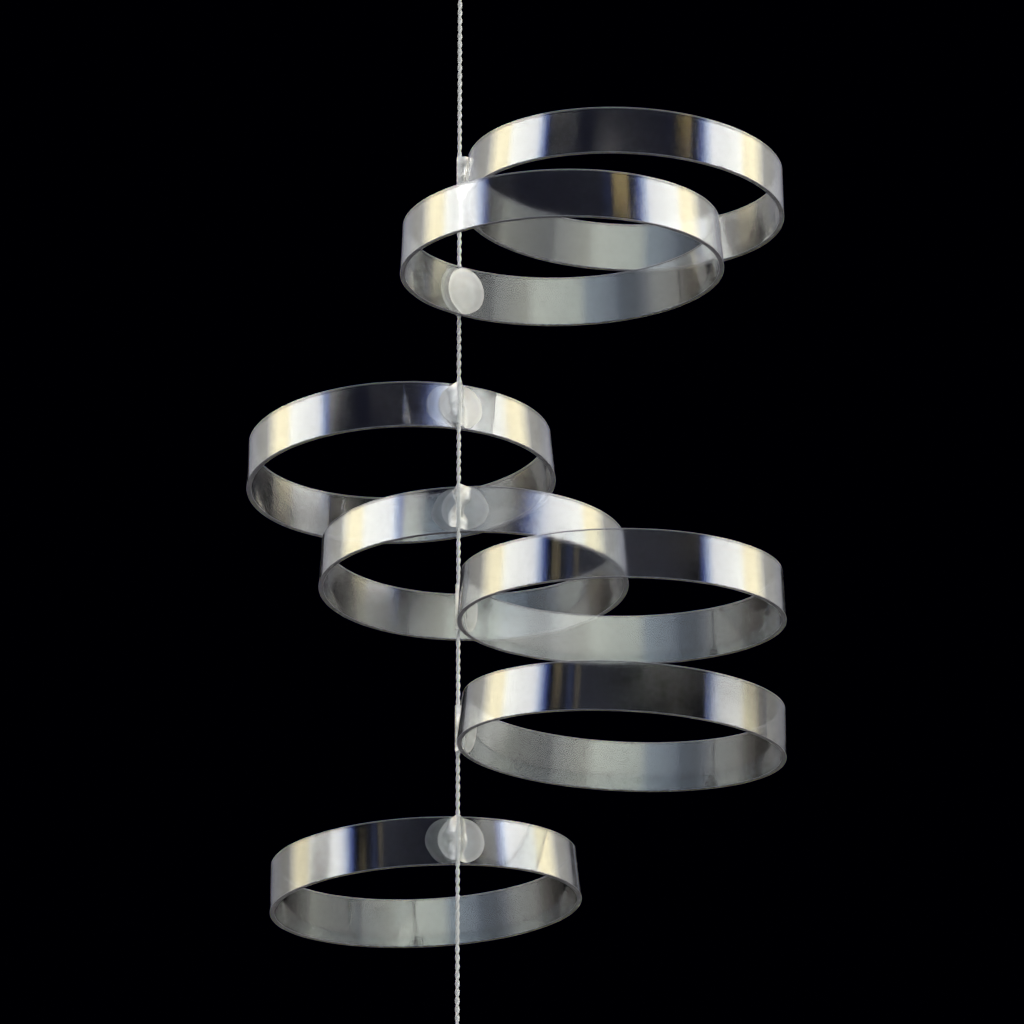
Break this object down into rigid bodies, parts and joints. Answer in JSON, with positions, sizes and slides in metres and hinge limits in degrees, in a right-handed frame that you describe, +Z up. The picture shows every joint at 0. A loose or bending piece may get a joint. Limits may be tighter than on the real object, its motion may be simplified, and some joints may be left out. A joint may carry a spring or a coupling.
{
  "type": "hanging mobile sculpture",
  "caption": "Hanging mobile of clear plastic rings held one below another by frosted adhesive discs on a single twisted cord, with a loop at the top to hang it by.",
  "frame": {"origin": "the point inside the crown of the hanging loop where a hook bears", "axes": "+Z up along the taut cord, -Y the front, +X to the right seen from the front"},
  "size_m": [0.1719, 0.1902, 0.3878],
  "materials": {
    "clear_plastic": "clear, polished wall with sawn and smoothed rims",
    "frosted_film": "translucent, frosted, slightly crinkled adhesive film",
    "twisted_cord": "light two-ply twist, slightly glossy"
  },
  "bodies": {
    "root": {"ring_1": "clear_plastic", "inner_dot_1": "frosted_film", "outer_dot_1": "frosted_film", "ring_2": "clear_plastic", "inner_dot_2": "frosted_film", "outer_dot_2": "frosted_film", "ring_3": "clear_plastic", "inner_dot_3": "frosted_film", "outer_dot_3": "frosted_film", "ring_4": "clear_plastic", "inner_dot_4": "frosted_film", "outer_dot_4": "frosted_film", "ring_5": "clear_plastic", "inner_dot_5": "frosted_film", "outer_dot_5": "frosted_film", "ring_6": "clear_plastic", "inner_dot_6": "frosted_film", "outer_dot_6": "frosted_film", "ring_7": "clear_plastic", "inner_dot_7": "frosted_film", "outer_dot_7": "frosted_film", "cord": "twisted_cord", "hanging_loop": "twisted_cord", "loop_knot": "twisted_cord", "end_knot": "twisted_cord"}
  },
  "joints": []
}
